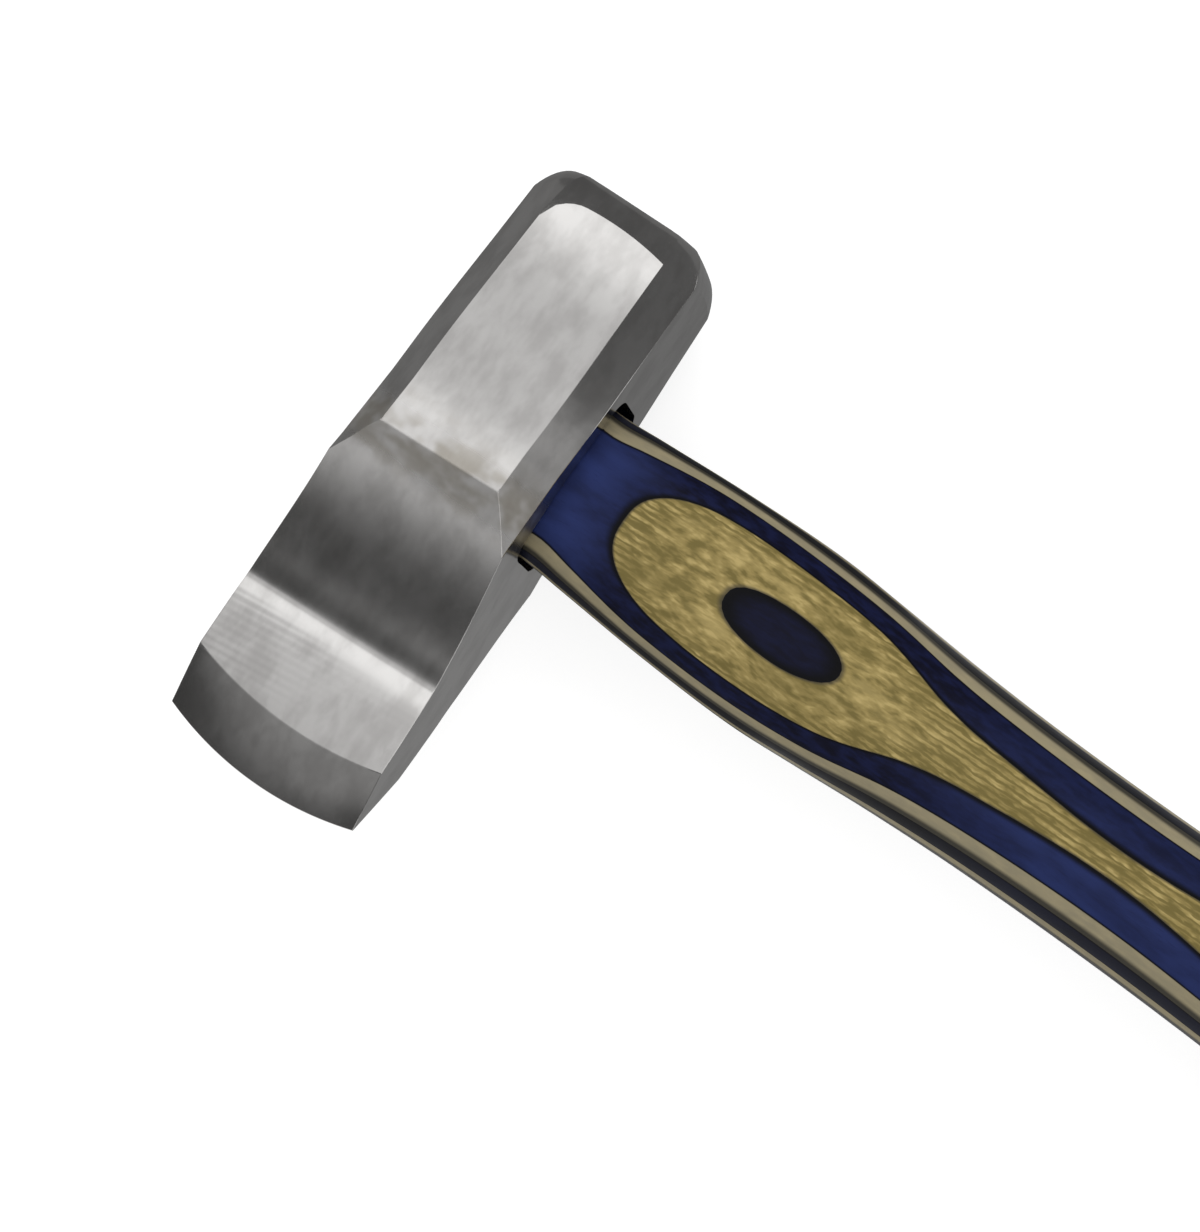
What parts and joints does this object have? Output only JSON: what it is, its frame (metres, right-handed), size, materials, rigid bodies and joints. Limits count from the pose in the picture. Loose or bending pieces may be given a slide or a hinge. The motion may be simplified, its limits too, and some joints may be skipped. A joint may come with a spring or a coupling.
{
  "type": "splitting maul",
  "caption": "One-hand splitting maul with a ground steel head, scalloped cheeks and a short convex edge, on a contoured handle of laminated blue and tan veneers.",
  "frame": {"origin": "on the lower cheek of the head, straight under the point where the handle's axis crosses the head's axis", "axes": "+X along the handle from the head to the butt, +Y along the head from the cutting edge to the poll, +Z from the lower cheek to the upper cheek"},
  "size_m": [0.3433, 0.11, 0.0394],
  "materials": {
    "steel": "ground and lightly polished, grinding marks across the blade",
    "blue_veneer": "dyed dark blue, satin lacquer",
    "tan_veneer": "dyed olive tan with streaky grain, satin lacquer",
    "wedge_wood": "plain hardwood, sawn and sanded",
    "wedge_steel": "plain steel, as cut"
  },
  "bodies": {
    "root": {"head": "steel", "ply_middle": "blue_veneer", "ply_upper_1": "tan_veneer", "ply_lower_1": "tan_veneer", "ply_upper_2": "blue_veneer", "ply_lower_2": "blue_veneer", "ply_upper_3": "tan_veneer", "ply_lower_3": "tan_veneer", "ply_upper_4": "blue_veneer", "ply_lower_4": "blue_veneer", "ply_upper_5": "tan_veneer", "ply_lower_5": "tan_veneer", "ply_upper_6_shoulder": "blue_veneer", "ply_lower_6_shoulder": "blue_veneer", "ply_upper_6_grip": "blue_veneer", "ply_lower_6_grip": "blue_veneer", "ply_upper_6_butt": "blue_veneer", "ply_lower_6_butt": "blue_veneer", "wedge_hardwood": "wedge_wood", "wedge_steel_poll_side": "wedge_steel", "wedge_steel_edge_side": "wedge_steel"}
  },
  "joints": []
}
